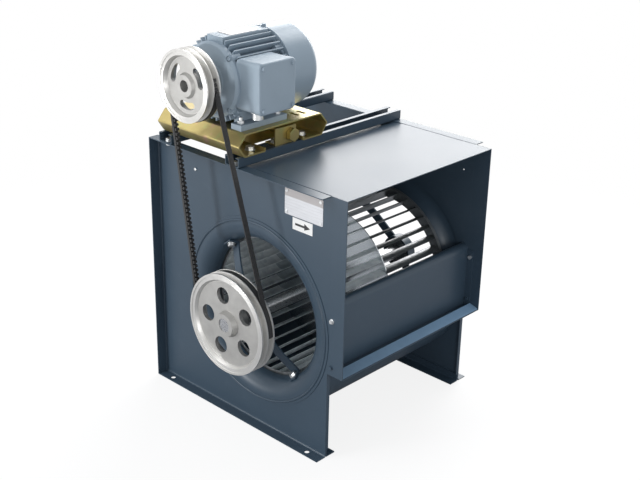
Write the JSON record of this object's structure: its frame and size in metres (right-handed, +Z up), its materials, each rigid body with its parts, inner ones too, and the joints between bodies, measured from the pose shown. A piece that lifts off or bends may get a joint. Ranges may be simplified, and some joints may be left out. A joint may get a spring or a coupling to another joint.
{
  "type": "centrifugal blower",
  "caption": "Double-inlet centrifugal blower: forward-curved wheel in a scroll housing, driven by a belt from a motor on a sliding base on top.",
  "frame": {"origin": "on the floor, under the middle of the blower's overall box", "axes": "+X the way the air leaves, +Y from the drive side to the far side, along the fan shaft, +Z up"},
  "size_m": [0.554, 0.5728, 0.8338],
  "materials": {
    "housing_paint": "dark slate-blue powder coat, satin",
    "motor_paint": "cast aluminium under blue-grey paint, semi-gloss",
    "cowl_paint": "pressed sheet steel under the motor's blue-grey paint",
    "yellow_zinc": "yellow-passivated zinc plate, semi-gloss",
    "bright_zinc": "bright zinc plate",
    "galvanised": "bright galvanised sheet with a faint spangle",
    "cast_pulley": "machined cast aluminium",
    "bare_steel": "ground steel",
    "core_steel": "stacked electrical sheet",
    "copper": "varnished copper winding",
    "black_rubber": "matte rubber",
    "black_plastic": "moulded plastic",
    "brown_plastic": "moulded insulating plastic",
    "plate_metal": "bare satin aluminium plate",
    "white_plate": "white gloss enamel",
    "black_print": "black paint"
  },
  "bodies": {
    "housing": {"side_plate_near": "housing_paint", "side_plate_far": "housing_paint", "scroll_wrap": "housing_paint", "cutoff_plate": "housing_paint", "outlet_collar": "housing_paint", "inlet_cone_near": "housing_paint", "inlet_cone_far": "housing_paint", "foot_angles": "housing_paint", "rail_front": "housing_paint", "rail_rear": "housing_paint", "bearing_bracket_near": "housing_paint", "bearing_bracket_far": "housing_paint", "bearing_cushions": "black_rubber", "bearing_outer_near": "bare_steel", "bearing_outer_far": "bare_steel", "bracket_bolts": "bright_zinc", "cutoff_bolts": "bright_zinc", "rail_bolts": "bright_zinc", "clamp_bolts": "bright_zinc", "data_plate": "plate_metal", "arrow_plate": "white_plate", "arrow_mark": "black_print", "plate_rivets": "bright_zinc", "drive_belt": "black_rubber", "clamp_bracket": "yellow_zinc"},
    "fan_rotor": {"fan_shaft": "bare_steel", "bearing_inner_near": "bare_steel", "bearing_inner_far": "bare_steel", "bearing_balls": "bare_steel", "centre_disc": "galvanised", "wheel_hub": "bare_steel", "blades_near": "galvanised", "blades_far": "galvanised", "end_ring_near": "galvanised", "end_ring_far": "galvanised", "fan_pulley": "cast_pulley", "fan_pulley_key": "bare_steel", "fan_grub_screws": "bare_steel"},
    "tension_screw": {"adjusting_screw": "yellow_zinc"},
    "motor_sled": {"motor_base": "yellow_zinc", "motor_frame": "motor_paint", "motor_feet": "motor_paint", "end_shield_front": "motor_paint", "end_shield_rear": "motor_paint", "stator_core": "core_steel", "stator_windings": "copper", "terminal_box": "motor_paint", "terminal_cover": "motor_paint", "terminal_block": "brown_plastic", "cable_gland": "bright_zinc", "fan_cowl": "cowl_paint", "motor_nameplate": "plate_metal", "motor_bolts": "bright_zinc", "motor_screws": "bright_zinc", "motor_bearings": "bare_steel"},
    "motor_rotor": {"motor_shaft": "bare_steel", "rotor_core": "core_steel", "cooling_fan": "black_plastic", "motor_pulley": "cast_pulley", "motor_pulley_key": "bare_steel"}
  },
  "joints": [
    {"name": "fan_spin", "type": "hinge", "parent": "housing", "child": "fan_rotor", "pos_m": [0.03005, 0.0314, 0.264], "axis": [0, 1, 0], "continuous": true},
    {"name": "base_slide", "type": "slide", "parent": "housing", "child": "motor_sled", "axis": [1, 0, 0], "range_m": [-0.01, 0.01], "deforming": ["drive_belt"]},
    {"name": "motor_spin", "type": "hinge", "parent": "motor_sled", "child": "motor_rotor", "pos_m": [-0.08465, 0.0314, 0.74175], "axis": [0, 1, 0], "continuous": true},
    {"name": "screw_turn", "type": "hinge", "parent": "housing", "child": "tension_screw", "pos_m": [-0.00295, -0.0656, 0.61795], "axis": [1, 0, 0], "range_deg": [-2060, 2060]}
  ],
  "couplings": [
    {"joint": "motor_spin", "follows": "fan_spin", "ratio": 1.5143},
    {"joint": "screw_turn", "follows": "base_slide", "rad_per_m": -3590.4}
  ]
}
